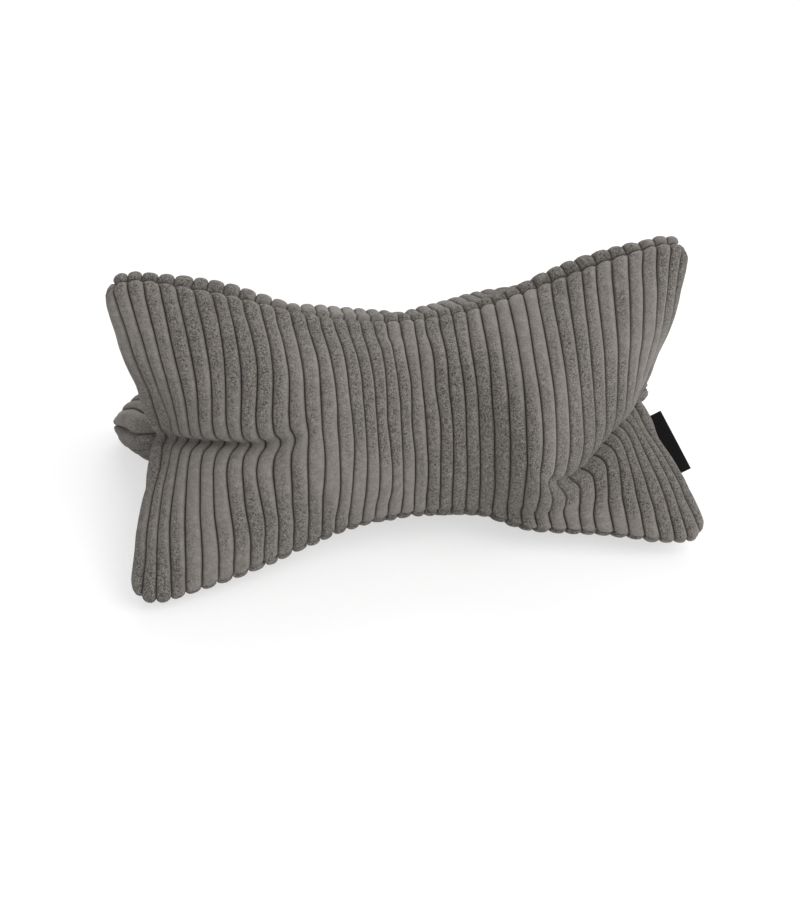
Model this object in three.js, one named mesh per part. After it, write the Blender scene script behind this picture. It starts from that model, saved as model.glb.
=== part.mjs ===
// Neck pillow of the bone kind: three equal bow-tie panels of wide corduroy, sewn to each other
// along their long edges and their ends, and stuffed. Every end has three lobes round a notch.
// The flat panels are cut here, sewn together point by point, and filled until they rest.
// X runs along the pillow, Z is up, and the origin is on the floor under the middle.
import * as THREE from 'three';

// Driving dimensions of the finished pillow, mm
const LENGTH = 420; // over the lobe tips, along X
const TIP_SPAN = 225; // from one lobe tip to the next at the same end
const LABEL_LENGTH = 52; // along the end seam
const LABEL_WIDTH = 11; // that shows outside the seam

// The flat panel, seam to seam, mm
const WALES = 41; // cords of the corduroy across one panel
const WALE_PITCH = 10.1;
const WAIST_WIDTH = 158; // in the middle
const END_WIDTH = 276; // just before the rounded corners
const CORNER_WIDTH = 226; // of the end edge itself
const CORNER_WALES = 3; // length of the corner's rounding
const WAIST_EASE = 1.5; // higher keeps the waist short
const END_BULGE = 8; // the end edge swells over each lobe
const END_PEAK = 2; // and stands out a little at its middle, where the notch forms

// How it fills
const ROWS = 14; // mesh rows from the middle of a panel to its seam
const STEPS = 2200;
const PRESSURE = 0.00004; // against a thread stiffness of 1
const STRETCH = 1;
const SQUEEZE = 0.35; // cloth gives way more easily when it is pushed together
const SHEAR = 0.35;
const BEND = 0.08;
const SEAM_BEND = 0.3;
const DAMPING = 0.06;
const STEP_SIZE = 0.25;
const START_BULGE = 12;
const START_LENGTH = 0.97;
const FOLD_GAP = 0.6; // that the two sides of a fold keep to its middle
const AXIS_HEIGHT = 77; // of the pillow's axis over the floor that flattens its feet

// How it slumps, degrees and mm in the finished pillow
const FOLD_DROP = { right: 42, left: 8 }; // the upper lobe hangs over the lower one
const FOLD_BACK = 11.5; // less of the right drop at the notch
const FOLD_CORE = 85; // the drop is whole inside this radius
const FOLD_REACH = 130; // and gone outside this one
const FOLD_ROUND = 0.06; // share of a half panel over which its turn eases at the fold
const FOLD_SOFT = 0.8; // more of it where a fold starts
const FOLD_RISE = 21; // by which the right fold is made shallower
const RISE = { above: 60, below: 90 }; // to its sides, degrees
const PUSH = { right: 14.5, left: 12 }; // the folds are pushed outwards along X
const PUSH_BACK = 0.2; // share less at a notch
const PUSHED = { core: 10, rim: 45, above: 42, below: 62 }; // round the axis and to the fold's sides
const TIP_LIFT = 3; // the right front lobe is propped up a little
const LIFT = { core: 40, rim: 60, below: 12, above: 50 };
const BLUNT = 16; // the back lobe's ends are filled out
const BLUNT_FROM = 120; // from the middle
const BLUNT_SIDES = { above: 60, below: 60 }; // of that lobe, degrees
const GATHER = 5.5; // the middle cords are drawn together
const GATHER_REACH = 180;
const CROWN = 5.5; // the backs of the upper lobes swell over the seam along their top
const CROWN_SHARE = 0.28; // of half a panel, beside that seam
const CROWN_WAY = 45; // degrees from +Y to +Z
const CROWN_END = 1.5; // wales over which that fades at an end

// Where each of these sets in along X, outwards from the middle, and over how far
const RAMPS = {
  rightFold: [30, 85],
  rightFoldBack: [108, 42],
  leftFold: [60, 55],
  sharp: [50, 60],
  rise: [40, 50],
  riseEnd: [80, 65],
  rightPush: [62, 75],
  leftPush: [40, 80],
  notch: [145, 30],
  tip: [60, 120],
  crown: [70, 50],
};

// The label: a woven tape folded in two and caught in the end seam
const LABEL_START = 24; // from the notch, along the seam
const TAPE = 0.7;
const TAPE_GAP = 0.4; // between its two layers
const SEAM_GAP = 0.42;
const LABEL_STEPS = 8;

const RAD = Math.PI / 180;
const PANELS = 3;
const HALF = (WALES * WALE_PITCH) / 2;
const PANEL_MID = [150, 30, -90]; // direction in which each panel faces, degrees from +Y to +Z
const LOBE_TURN = 60; // from a panel's middle to its lobes
const FRONT = 0; // index of the panel that faces the front
const BACK = 1;
const FRONT_LOBE = 2; // index of the lobe under it
const STRAIGHT = 0.8; // cosine above which three points count as a row

const clamp01 = (t) => Math.min(Math.max(t, 0), 1);
const smooth = (t) => clamp01(t) ** 2 * (3 - 2 * clamp01(t));
const turned = (angle) => new THREE.Vector3(0, Math.cos(angle * RAD), Math.sin(angle * RAD));

// Half the panel's width at u, the distance along it
function halfWidth(u) {
  const along = Math.min(Math.abs(u) / HALF, 1);
  const corner = CORNER_WALES * WALE_PITCH;
  const t = clamp01((Math.abs(u) - HALF + corner) / corner);
  const waist = ((END_WIDTH - WAIST_WIDTH) / 2) * Math.cos((Math.PI / 2) * along) ** WAIST_EASE;
  return END_WIDTH / 2 - waist - ((END_WIDTH - CORNER_WIDTH) / 2) * (1 - Math.sqrt(1 - t * t));
}

// The flat cut of half a panel: columns of the mesh lie along the wales, row 0 along the middle
function flatCut() {
  const cut = [];
  for (let i = 0; i <= WALES; i++) {
    const u = (i - WALES / 2) * WALE_PITCH;
    const side = i === 0 ? -1 : 1;
    for (let j = 0; j <= ROWS; j++) {
      const f = j / ROWS;
      const end = END_PEAK * (1 - f) ** 2 + END_BULGE * Math.sin(Math.PI * f);
      cut.push({ u: i === 0 || i === WALES ? u + side * end : u, v: halfWidth(u) * f });
    }
  }
  return cut;
}

const CUT = flatCut();
const at = (i, j) => i * (ROWS + 1) + j;

// Points that are sewn together share one number. Lobe p joins panel p's upper half to the
// lower half of the panel before it, and both ends of all panels meet in the two notches.
function sew() {
  const numbers = new Map();
  const number = (key) => {
    if (!numbers.has(key)) numbers.set(key, numbers.size);
    return numbers.get(key);
  };
  const halves = [];
  for (let panel = 0; panel < PANELS; panel++) {
    for (const upper of [0, 1]) {
      const lobe = upper ? panel : (panel + PANELS - 1) % PANELS;
      const grid = [];
      for (let i = 0; i <= WALES; i++) {
        for (let j = 0; j <= ROWS; j++) {
          const atEnd = i === 0 || i === WALES;
          if (atEnd && j === 0) grid.push(number(`notch ${i}`));
          else if (atEnd || j === ROWS) grid.push(number(`seam ${lobe} ${i} ${j}`));
          else if (j === 0) grid.push(number(`middle ${panel} ${i}`));
          else grid.push(number(`inside ${panel} ${upper} ${i} ${j}`));
        }
      }
      const side = upper ? -1 : 1;
      halves.push({ panel, upper, side, lobe, grid, mid: PANEL_MID[panel] });
    }
  }
  return { halves, count: numbers.size };
}

// A first shape: straight chords from the panel's middle to its seam, a little crowned
function firstShape(halves, count) {
  const points = Array.from({ length: count }, () => new THREE.Vector3());
  const shares = new Array(count).fill(0);
  for (const half of halves) {
    const middle = turned(half.mid);
    const lobe = turned(half.mid + half.side * LOBE_TURN);
    const crown = middle.clone().addScaledVector(lobe, -middle.dot(lobe)).normalize();
    for (let i = 0; i <= WALES; i++) {
      const u = (i - WALES / 2) * WALE_PITCH;
      const width = halfWidth(u);
      const core = (width / Math.sqrt(3)) * (1 - (u / HALF) ** 2);
      const reach = core / 2 + Math.sqrt(width ** 2 - 0.75 * core ** 2);
      for (let j = 0; j <= ROWS; j++) {
        const f = j / ROWS;
        const point = middle.clone().multiplyScalar(core * (1 - f));
        point.addScaledVector(lobe, reach * f);
        point.addScaledVector(crown, START_BULGE * Math.sin(Math.PI * f));
        point.x = CUT[at(i, j)].u * START_LENGTH;
        points[half.grid[at(i, j)]].add(point);
        shares[half.grid[at(i, j)]] += 1;
      }
    }
  }
  const flat = new Float64Array(count * 3);
  points.forEach((p, n) => p.divideScalar(shares[n]).toArray(flat, n * 3));
  return flat;
}

// Threads along and across the cords and on both diagonals, each once, at its cut length
function threads(halves) {
  const list = [];
  const seen = new Set();
  const directions = [[1, 0, STRETCH], [0, 1, STRETCH], [1, 1, SHEAR], [1, -1, SHEAR]];
  for (const { grid } of halves) {
    for (const [di, dj, stiffness] of directions) {
      for (let i = 0; i + di <= WALES; i++) {
        for (let j = Math.max(0, -dj); j + Math.max(0, dj) <= ROWS; j++) {
          const a = grid[at(i, j)];
          const b = grid[at(i + di, j + dj)];
          const key = Math.min(a, b) * 1e6 + Math.max(a, b);
          if (a === b || seen.has(key)) continue;
          seen.add(key);
          const from = CUT[at(i, j)];
          const to = CUT[at(i + di, j + dj)];
          const length = Math.hypot(to.u - from.u, to.v - from.v);
          const pull = stiffness / length;
          list.push({ a, b, length, pull, push: pull * SQUEEZE });
        }
      }
    }
  }
  return list;
}

// Three points in a row resist bending about the middle one. The panel's middle row folds freely.
function bends(halves) {
  const list = [];
  const seen = new Set();
  const add = (grid, trio, stiffness) => {
    const [a, b, c] = trio.map(([i, j]) => grid[at(i, j)]);
    const [p, q, r] = trio.map(([i, j]) => CUT[at(i, j)]);
    const key = `${Math.min(a, c)} ${b} ${Math.max(a, c)}`;
    const before = Math.hypot(q.u - p.u, q.v - p.v);
    const after = Math.hypot(r.u - q.u, r.v - q.v);
    const straight = (q.u - p.u) * (r.u - q.u) + (q.v - p.v) * (r.v - q.v);
    if (seen.has(key) || straight < STRAIGHT * before * after) return;
    seen.add(key);
    list.push({ a, b, c, before: 1 / before, after: 1 / after, stiffness });
  };
  for (const { grid } of halves) {
    for (let i = 1; i < WALES; i++) {
      for (let j = 1; j < ROWS; j++) {
        add(grid, [[i - 1, j], [i, j], [i + 1, j]], BEND);
        add(grid, [[i, j - 1], [i, j], [i, j + 1]], BEND);
      }
    }
  }
  for (const half of halves.filter((h) => h.upper)) {
    for (let i = 1; i < WALES; i++) {
      add(half.grid, [[i - 1, 0], [i, 0], [i + 1, 0]], BEND);
      add(half.grid, [[i - 1, ROWS], [i, ROWS], [i + 1, ROWS]], SEAM_BEND);
    }
    for (const i of [0, WALES]) {
      for (let j = 1; j < ROWS; j++) add(half.grid, [[i, j - 1], [i, j], [i, j + 1]], SEAM_BEND);
    }
  }
  return list;
}

// Faces of the sewn cover, outwards
function faces(halves) {
  const list = [];
  for (const { grid, upper } of halves) {
    for (let i = 0; i < WALES; i++) {
      for (let j = 0; j < ROWS; j++) {
        const quad = [[i, j], [i + 1, j], [i + 1, j + 1], [i, j + 1]].map(([m, n]) => grid[at(m, n)]);
        if (!upper) quad.reverse();
        const [a, b, c, d] = quad;
        const rising = i < WALES / 2 === Boolean(upper);
        if (rising) list.push([a, b, d], [b, c, d]);
        else list.push([a, b, c], [a, c, d]);
      }
    }
  }
  return list;
}

// Each half panel stays between the plane of its panel's middle and the plane of its lobe, and
// what is on such a plane stays on it, so that the two sides of a fold never cross.
function planes(halves) {
  const sides = [];
  const kept = [];
  for (const { grid, mid, side, upper } of halves) {
    const inside = [];
    for (let i = 1; i < WALES; i++) {
      for (let j = 1; j < ROWS; j++) inside.push(grid[at(i, j)]);
    }
    sides.push({ points: inside, normal: turned(mid + side * 90) });
    sides.push({ points: inside, normal: turned(mid + side * (LOBE_TURN - 90)) });
    if (!upper) continue;
    const middle = [];
    const seam = new Set();
    for (let i = 0; i <= WALES; i++) {
      middle.push(grid[at(i, 0)]);
      seam.add(grid[at(i, ROWS)]);
    }
    for (let j = 0; j <= ROWS; j++) seam.add(grid[at(0, j)]).add(grid[at(WALES, j)]);
    kept.push({ points: middle, normal: turned(mid + 90) });
    kept.push({ points: [...seam], normal: turned(mid - LOBE_TURN + 90) });
  }
  return { sides, kept };
}

// Threads pull their ends together, or push them apart more weakly
function pullThreads(cloth, at3, force) {
  for (const { a, b, length, pull, push } of cloth) {
    const dx = at3[3 * b] - at3[3 * a];
    const dy = at3[3 * b + 1] - at3[3 * a + 1];
    const dz = at3[3 * b + 2] - at3[3 * a + 2];
    const now = Math.sqrt(dx * dx + dy * dy + dz * dz);
    const f = ((now > length ? pull : push) * (now - length)) / now;
    force[3 * a] += f * dx;
    force[3 * a + 1] += f * dy;
    force[3 * a + 2] += f * dz;
    force[3 * b] -= f * dx;
    force[3 * b + 1] -= f * dy;
    force[3 * b + 2] -= f * dz;
  }
}

// Bent rows of points straighten
function straighten(rows, at3, force) {
  for (const { a, b, c, before, after, stiffness } of rows) {
    for (let k = 0; k < 3; k++) {
      const middle = at3[3 * b + k] * (before + after);
      const bent = at3[3 * a + k] * before - middle + at3[3 * c + k] * after;
      force[3 * a + k] -= stiffness * bent * before;
      force[3 * b + k] += stiffness * bent * (before + after);
      force[3 * c + k] -= stiffness * bent * after;
    }
  }
}

// The stuffing presses every face outwards
function press(skin, at3, force) {
  for (const [a, b, c] of skin) {
    const ux = at3[3 * b] - at3[3 * a];
    const uy = at3[3 * b + 1] - at3[3 * a + 1];
    const uz = at3[3 * b + 2] - at3[3 * a + 2];
    const vx = at3[3 * c] - at3[3 * a];
    const vy = at3[3 * c + 1] - at3[3 * a + 1];
    const vz = at3[3 * c + 2] - at3[3 * a + 2];
    const px = ((uy * vz - uz * vy) * PRESSURE) / 6;
    const py = ((uz * vx - ux * vz) * PRESSURE) / 6;
    const pz = ((ux * vy - uy * vx) * PRESSURE) / 6;
    for (const n of [a, b, c]) {
      force[3 * n] += px;
      force[3 * n + 1] += py;
      force[3 * n + 2] += pz;
    }
  }
}

// Brings points back to the planes that they keep to, and stops them there
function holdPlanes({ sides, kept }, at3, speed) {
  for (const { points, normal } of sides) {
    for (const n of points) {
      const over = at3[3 * n + 1] * normal.y + at3[3 * n + 2] * normal.z;
      if (over >= FOLD_GAP) continue;
      const inward = Math.min(speed[3 * n + 1] * normal.y + speed[3 * n + 2] * normal.z, 0);
      at3[3 * n + 1] += (FOLD_GAP - over) * normal.y;
      at3[3 * n + 2] += (FOLD_GAP - over) * normal.z;
      speed[3 * n + 1] -= inward * normal.y;
      speed[3 * n + 2] -= inward * normal.z;
    }
  }
  for (const { points, normal } of kept) {
    for (const n of points) {
      const off = at3[3 * n + 1] * normal.y + at3[3 * n + 2] * normal.z;
      const drift = speed[3 * n + 1] * normal.y + speed[3 * n + 2] * normal.z;
      at3[3 * n + 1] -= off * normal.y;
      at3[3 * n + 2] -= off * normal.z;
      speed[3 * n + 1] -= drift * normal.y;
      speed[3 * n + 2] -= drift * normal.z;
    }
  }
}

// The stiffness that holds each point, by which its steps are scaled
function grips(cloth, rows, count) {
  const grip = new Float64Array(count);
  for (const { a, b, pull } of cloth) {
    grip[a] += pull;
    grip[b] += pull;
  }
  for (const { a, b, c, before, after, stiffness } of rows) {
    const both = before + after;
    grip[a] += stiffness * before * both;
    grip[b] += stiffness * both * both;
    grip[c] += stiffness * after * both;
  }
  return grip;
}

// Fills the cover: cloth forces and pressure act on every point until it has come to rest
function fill() {
  const { halves, count } = sew();
  const at3 = firstShape(halves, count);
  const speed = new Float64Array(count * 3);
  const force = new Float64Array(count * 3);
  const cloth = threads(halves);
  const rows = bends(halves);
  const skin = faces(halves);
  const held = planes(halves);
  const grip = grips(cloth, rows, count);
  for (let step = 0; step < STEPS; step++) {
    force.fill(0);
    pullThreads(cloth, at3, force);
    straighten(rows, at3, force);
    press(skin, at3, force);
    for (let n = 0; n < count * 3; n++) {
      speed[n] = (speed[n] + (force[n] * STEP_SIZE) / grip[Math.floor(n / 3)]) * (1 - DAMPING);
      at3[n] += speed[n];
    }
    holdPlanes(held, at3, speed);
    for (let n = 0; n < count; n++) {
      if (at3[3 * n + 2] > -AXIS_HEIGHT) continue;
      at3[3 * n + 2] = -AXIS_HEIGHT;
      speed[3 * n + 2] = 0;
    }
  }
  return { halves, count, at3, skin };
}

// Brings the filled form to its finished length and span
function toSize({ at3, count }) {
  let reach = 0;
  let span = 0;
  for (let n = 0; n < count; n++) {
    reach = Math.max(reach, Math.abs(at3[3 * n]));
    span = Math.max(span, at3[3 * n + 2]);
  }
  const along = LENGTH / 2 / reach;
  const round = TIP_SPAN / Math.sqrt(3) / span;
  for (let n = 0; n < count; n++) {
    at3[3 * n] *= along;
    at3[3 * n + 1] *= round;
    at3[3 * n + 2] *= round;
  }
  return AXIS_HEIGHT * round;
}

// Degrees from a to b, between -180 and 180
const apart = (a, b) => ((((b - a + 180) % 360) + 360) % 360) - 180;

// Eases from 0 to 1 along X where this part of the slump sets in
function ramp(x, name) {
  const [start, run] = RAMPS[name];
  return smooth((x - start) / run);
}

// 1 at an angle of 0, and eased to 0 at so many degrees above and below it
const beside = (angle, { above, below }) => 1 - smooth(angle < 0 ? -angle / above : angle / below);

// Draws the middle cords together, turns the front folds down, makes the right one shallower,
// pushes both outwards and lifts the right front tip, without crossing anything over.
function slump({ at3, count }) {
  for (let n = 0; n < count; n++) {
    const x = at3[3 * n];
    const radius = Math.hypot(at3[3 * n + 1], at3[3 * n + 2]);
    const angle = Math.atan2(at3[3 * n + 2], at3[3 * n + 1]) / RAD;
    const fromFold = apart(PANEL_MID[FRONT], angle);
    const fromLobe = apart(PANEL_MID[FRONT] + LOBE_TURN, angle);
    const place = fromFold / LOBE_TURN;

    const near = 1 - smooth((radius - FOLD_CORE) / (FOLD_REACH - FOLD_CORE));
    const right = FOLD_DROP.right * ramp(x, 'rightFold') - FOLD_BACK * ramp(x, 'rightFoldBack');
    const left = FOLD_DROP.left * ramp(-x, 'leftFold');
    const easing = FOLD_ROUND + FOLD_SOFT * (1 - ramp(Math.abs(x), 'sharp'));
    const share = 1 - (Math.hypot(place, easing) - easing) / (Math.hypot(1, easing) - easing);
    const lifted = ramp(x, 'tip') * smooth((radius - LIFT.core) / LIFT.rim) * beside(fromLobe, LIFT);
    const turn = (right + left) * near * Math.max(share, 0) - TIP_LIFT * lifted;

    const side = Math.abs(fromFold) / (place < 0 ? RISE.above : RISE.below);
    const raised = Math.max(1 - side, 0) * ramp(x, 'rise') * (1 - ramp(x, 'riseEnd'));

    const inside = 1 - smooth((radius - PUSHED.core) / PUSHED.rim);
    const outwards = PUSH.right * ramp(x, 'rightPush') - PUSH.left * ramp(-x, 'leftPush');
    const push = outwards * (1 - PUSH_BACK * ramp(Math.abs(x), 'notch'));
    const along = Math.min(Math.max(x / GATHER_REACH, -1), 1);
    const pushed = push * Math.max(inside, beside(fromFold, PUSHED));
    const atEnd = clamp01((Math.abs(x) - BLUNT_FROM) / (LENGTH / 2 - BLUNT_FROM));
    const onBack = beside(apart(PANEL_MID[BACK] - LOBE_TURN, angle), BLUNT_SIDES);
    const blunt = BLUNT * Math.sign(x) * Math.sin(Math.PI * atEnd) * onBack;

    at3[3 * n] = x + pushed - GATHER * Math.sin(Math.PI * along) + blunt;
    at3[3 * n + 1] = (radius + FOLD_RISE * raised) * Math.cos((angle + turn) * RAD);
    at3[3 * n + 2] = (radius + FOLD_RISE * raised) * Math.sin((angle + turn) * RAD);
  }
}

// Swells the back of each upper lobe over the seam along its top
function crown({ halves, at3 }) {
  const way = turned(CROWN_WAY);
  const { grid } = halves.find((h) => h.panel === BACK && !h.upper);
  for (let i = 1; i < WALES; i++) {
    const reach = Math.abs(at3[3 * grid[at(i, ROWS)]]);
    const swell = CROWN * smooth(Math.min(i, WALES - i) / CROWN_END) * ramp(reach, 'crown');
    for (let j = 0; j < ROWS; j++) {
      const toSeam = clamp01((j / ROWS - 1) / CROWN_SHARE + 1);
      const amount = swell * Math.sin(Math.PI * toSeam ** 2);
      at3[3 * grid[at(i, j)] + 1] += amount * way.y;
      at3[3 * grid[at(i, j)] + 2] += amount * way.z;
    }
  }
}

const fabric = new THREE.MeshStandardMaterial({ color: 0x6b6763, roughness: 0.95, metalness: 0 });
const tape = new THREE.MeshStandardMaterial({ color: 0x141416, roughness: 0.7, metalness: 0 });

function solid(name, points, triangles, material) {
  const geometry = new THREE.BufferGeometry();
  geometry.setAttribute('position', new THREE.Float32BufferAttribute(points, 3));
  geometry.setIndex(triangles.flat());
  geometry.computeVertexNormals();
  const mesh = new THREE.Mesh(geometry, material);
  mesh.name = name;
  return mesh;
}

// The folded tape stands out of the right end seam of the front lobe, flat in the lobe's plane
function label({ halves, at3 }) {
  const point = (n) => new THREE.Vector3().fromArray(at3, 3 * n);
  const lobe = halves.filter((h) => h.lobe === FRONT_LOBE);
  const seam = new THREE.CurvePath();
  const inner = [];
  for (let j = 0; j <= ROWS; j++) {
    const end = point(lobe[0].grid[at(WALES, j)]);
    const [over, under] = lobe.map((h) => point(h.grid[at(WALES - 1, j)]));
    inner.push(over.add(under).multiplyScalar(0.5));
    if (j > 0) seam.add(new THREE.LineCurve3(point(lobe[0].grid[at(WALES, j - 1)]), end));
  }
  const total = seam.getLength();
  const place = (s) => seam.getPointAt(s / total);
  const first = place(LABEL_START);
  const last = place(LABEL_START + LABEL_LENGTH);
  const centre = place(LABEL_START + LABEL_LENGTH / 2);
  const along = last.clone().sub(first).normalize();
  const core = inner[Math.round((ROWS * (LABEL_START + LABEL_LENGTH / 2)) / total)];
  const out = centre.clone().sub(core);
  out.addScaledVector(along, -out.dot(along)).normalize();
  const face = along.clone().cross(out);
  const half = TAPE + TAPE_GAP / 2;
  // Round the folded tape: which reach out of the seam, and the height over its middle plane
  const profile = [
    [0, -half], [1, -half], [1, half], [0, half],
    [0, half - TAPE], [2, half - TAPE], [2, TAPE - half], [0, TAPE - half],
  ];
  const points = [];
  const triangles = [];
  for (let k = 0; k <= LABEL_STEPS; k++) {
    const root = place(LABEL_START + (LABEL_LENGTH * k) / LABEL_STEPS);
    const edge = LABEL_WIDTH - root.clone().sub(centre).dot(out);
    const reach = [SEAM_GAP, edge, edge - TAPE];
    for (const [where, height] of profile) {
      const p = root.clone().addScaledVector(out, reach[where]).addScaledVector(face, height);
      points.push(...p.toArray());
    }
  }
  const size = profile.length;
  const quad = (a, b, c, d) => triangles.push([a, c, b], [a, d, c]);
  for (let k = 0; k < LABEL_STEPS; k++) {
    for (let m = 0; m < size; m++) {
      const next = (m + 1) % size;
      quad(k * size + m, (k + 1) * size + m, (k + 1) * size + next, k * size + next);
    }
  }
  for (const [a, b, c, d] of [[0, 1, 6, 7], [1, 2, 5, 6], [2, 3, 4, 5]]) {
    quad(a, b, c, d);
    const top = LABEL_STEPS * size;
    quad(top + d, top + c, top + b, top + a);
  }
  return { points, triangles };
}

const filled = fill();
const axisHeight = toSize(filled);
slump(filled);
crown(filled);
for (let n = 0; n < filled.count; n++) {
  filled.at3[3 * n + 2] = Math.max(filled.at3[3 * n + 2] + axisHeight, 0);
}
const tag = label(filled);

const pillow = new THREE.Group();
pillow.add(solid('pillow', Array.from(filled.at3), filled.skin, fabric));
pillow.add(solid('side_label', tag.points, tag.triangles, tape));

export default pillow;
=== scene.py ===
"""Neck pillow of the bone kind, in wide corduroy.

Three equal bow-tie panels are cut flat, sewn to each other along their long edges and their ends, and
stuffed. The cut, the sewing and the filling are worked out here as they are for the solid, then the cloth
settles in Blender's own cloth simulation, and its cords are raised on it.
All sizes are in metres, X runs along the pillow and Z is up from the floor.
"""
import math

import bpy
import numpy as np
from bpy.props import FloatProperty, FloatVectorProperty, IntProperty, PointerProperty
from mathutils import Matrix, Vector


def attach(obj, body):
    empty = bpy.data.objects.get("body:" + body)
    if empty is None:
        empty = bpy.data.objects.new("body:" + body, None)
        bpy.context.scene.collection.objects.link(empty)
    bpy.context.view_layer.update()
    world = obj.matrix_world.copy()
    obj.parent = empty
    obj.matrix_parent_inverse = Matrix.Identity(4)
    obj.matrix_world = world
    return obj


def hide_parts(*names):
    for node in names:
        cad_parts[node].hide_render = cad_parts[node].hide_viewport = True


bl_info = {
    "name": "Corduroy neck pillow",
    "version": (1, 0, 0),
    "blender": (4, 5, 0),
    "location": "View3D > Sidebar > Neck pillow",
    "description": "Sews, fills and dresses a bone-shaped neck pillow of wide corduroy",
    "category": "Add Mesh",
}

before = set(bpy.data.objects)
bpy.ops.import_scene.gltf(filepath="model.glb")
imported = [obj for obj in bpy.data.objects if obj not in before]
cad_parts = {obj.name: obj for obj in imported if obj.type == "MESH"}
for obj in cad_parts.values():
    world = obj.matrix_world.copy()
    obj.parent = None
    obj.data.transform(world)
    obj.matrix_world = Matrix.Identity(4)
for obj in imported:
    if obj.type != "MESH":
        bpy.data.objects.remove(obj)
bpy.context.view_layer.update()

PANELS = 3
PANEL_FACES = (150, 30, -90)  # direction in which each panel faces, degrees from +Y to +Z
LOBE_TURN = 60  # from a panel's middle to its lobes, degrees
FRONT = 0  # the panel that faces the front
BACK = 1

# The fill: cloth forces against a thread stiffness of 1
ROWS = 14  # mesh rows from the middle of a panel to its seam
FILL_STEPS = 2200
PRESSURE = 40
SQUEEZE = 0.35  # cloth gives way more easily when it is pushed together
SHEAR = 0.35
BEND = 0.00008
SEAM_BEND = 0.0003
DAMPING = 0.06
STEP_SIZE = 0.25
START_BULGE = 0.012
START_LENGTH = 0.97
FOLD_GAP = 0.0006  # that the two sides of a fold keep to its middle
SHARP_TURN = 0.8  # cosine of a turn in the flat cloth past which no bending is resisted

# The cloth simulation
MIDDLE_HOLD = 0.3  # of a panel's middle line, where a seam's is 1
CLOTH = {
    "quality": 6,
    "mass": 0.2,
    "tension_stiffness": 12,
    "compression_stiffness": 12,
    "shear_stiffness": 4,
    "bending_stiffness": 0.15,
    "tension_damping": 8,
    "compression_damping": 8,
    "shear_damping": 5,
    "pin_stiffness": 1,
    "use_pressure": True,
}

# The mesh of the finished cover
CLOTH_FINER = 2  # columns and rows of the cloth simulation for each one of the fill
EVENING = 2  # rounds in which the cloth's moves are evened out
CORD_STEPS = (0, 0.06, 0.14, 0.3, 0.5, 0.7, 0.86, 0.94)  # columns across a cord, close at the grooves
SEAM_STEPS = (0, 0.0008, 0.0018, 0.0032, 0.005, 0.0075)  # rows beside a seam, by their distance from it
BODY_ROWS = 36  # rows from the middle of a panel to the first of those
SEAM_REACH = 0.008  # over which the cloth turns into its seam
END_SHARE = 0.4  # of the seam's depth, at an end
SEAM_SHADE = 3  # higher keeps the painted seam shade, in the ground's colour, close to a seam
PUFF_REACH = 0.016  # over which the cloth swells beside a seam
PUFF_PEAK = 6.75  # brings the swelling's highest point, at a third of that, to 1
WANDER_KNOTS = 9  # along each groove, between which it wanders

# Where each part of the slump sets in along X, outwards from the middle, and over how far, metres
RAMPS = {
    "right fold": (0.03, 0.085),
    "right fold back": (0.108, 0.042),
    "left fold": (0.06, 0.055),
    "sharp": (0.05, 0.06),  # a fold is soft before it
    "shallow": (0.04, 0.05),  # the right fold gets shallower
    "deep again": (0.08, 0.065),
    "right push": (0.062, 0.075),
    "left push": (0.04, 0.08),
    "notch": (0.145, 0.03),
    "tip": (0.06, 0.12),
    "crown": (0.07, 0.05),
}
FOLD_ROUND = 0.06  # share of a half panel over which its turn eases at the fold
FOLD_SOFT = 0.8  # more of it where a fold starts
SHALLOW_SIDES = (60, 90)  # degrees above and below the fold to which it is made shallower
PUSH_SIDES = (42, 62)  # degrees above and below the fold that the push reaches
PUSH_CORE = 0.01  # radius at a notch that the push takes along
PUSH_RIM = 0.045
LIFT_CORE = 0.04  # radius at which the tip's lift sets in
LIFT_RIM = 0.06
LIFT_SIDES = (50, 12)  # degrees above and below the lobe that the lift reaches
BLUNT_FROM = 0.12  # from the middle, where the back lobe's ends start to fill out
BLUNT_SIDES = (60, 60)  # degrees above and below that lobe
GATHER_REACH = 0.18  # from the middle, within which the cords are drawn together
CROWN_SHARE = 0.28  # of half a back panel, over which it crowns beside the upper seam
CROWN_WAY = 45  # degrees from +Y to +Z
CROWN_END = 1.5  # cords over which that fades at an end

# The cords' tree, with its inputs' subtypes. Each is also a cord setting
CORD_INPUTS = {
    "Groove depth": "DISTANCE",
    "Flatness": "NONE",
    "Seam depth": "DISTANCE",
    "Seam round": "DISTANCE",
    "End round": "DISTANCE",
    "Seam puff": "DISTANCE",
    "End puff": "DISTANCE",
    "Unevenness": "DISTANCE",
    "Seed": "NONE",
}
UNEVEN_SCALE = 70.0  # of the noise that makes the cords uneven

# The pile: its noises, and where each mark sets in and is whole on a value from 0 to 1
PATCH_SCALE = 15.0
PATCH_SHIFT = (0.31, 0.17, 0)  # of the ruffled patches over the flat cloth
PATCH_STRETCH = (1.0, 0.6, 1.0)  # longer along the cords
PILE_SCALE = 950.0
FUZZ_SCALE = 2400.0
STREAK_SCALE = 190.0
RUFFLED = (0.3, 0.56)
SIDE = (0.05, 0.75)  # from the middle of a cord to its groove
SIDE_LESS = 0.12  # less ruffled there
# Painted shade in the pile's pits, where its bump is low
PIT_SHADE = (0.54, 0.38)
PIT_SHADE_SHOW = 0.75
# Painted highlight on the pile's tips, where its bump is high
TIP_HIGHLIGHT = (0.5, 0.64)
TIP_HIGHLIGHT_SHOW = 0.6
STREAKS = (0.35, 0.7)
STREAKS_SHOW = 0.35
# where the ground's colour, with painted shade, sets in and is whole in the grooves and along the seams
GROUND_AND_SHADE = (0.22, 0.85)
BRUSHED_SHARE = 0.3  # of the painted pit shade and tip highlight of ruffled pile that brushed pile keeps
FUZZ_SHARE = 0.3  # of the pile's height
PILE_DEPTH = 0.0012

# The UV maps
FLAT_SIZE = 0.9  # cloth that the cover's UV map spans
TAPE_SCALE = 0.06  # tape that the label's UV map spans

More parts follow.
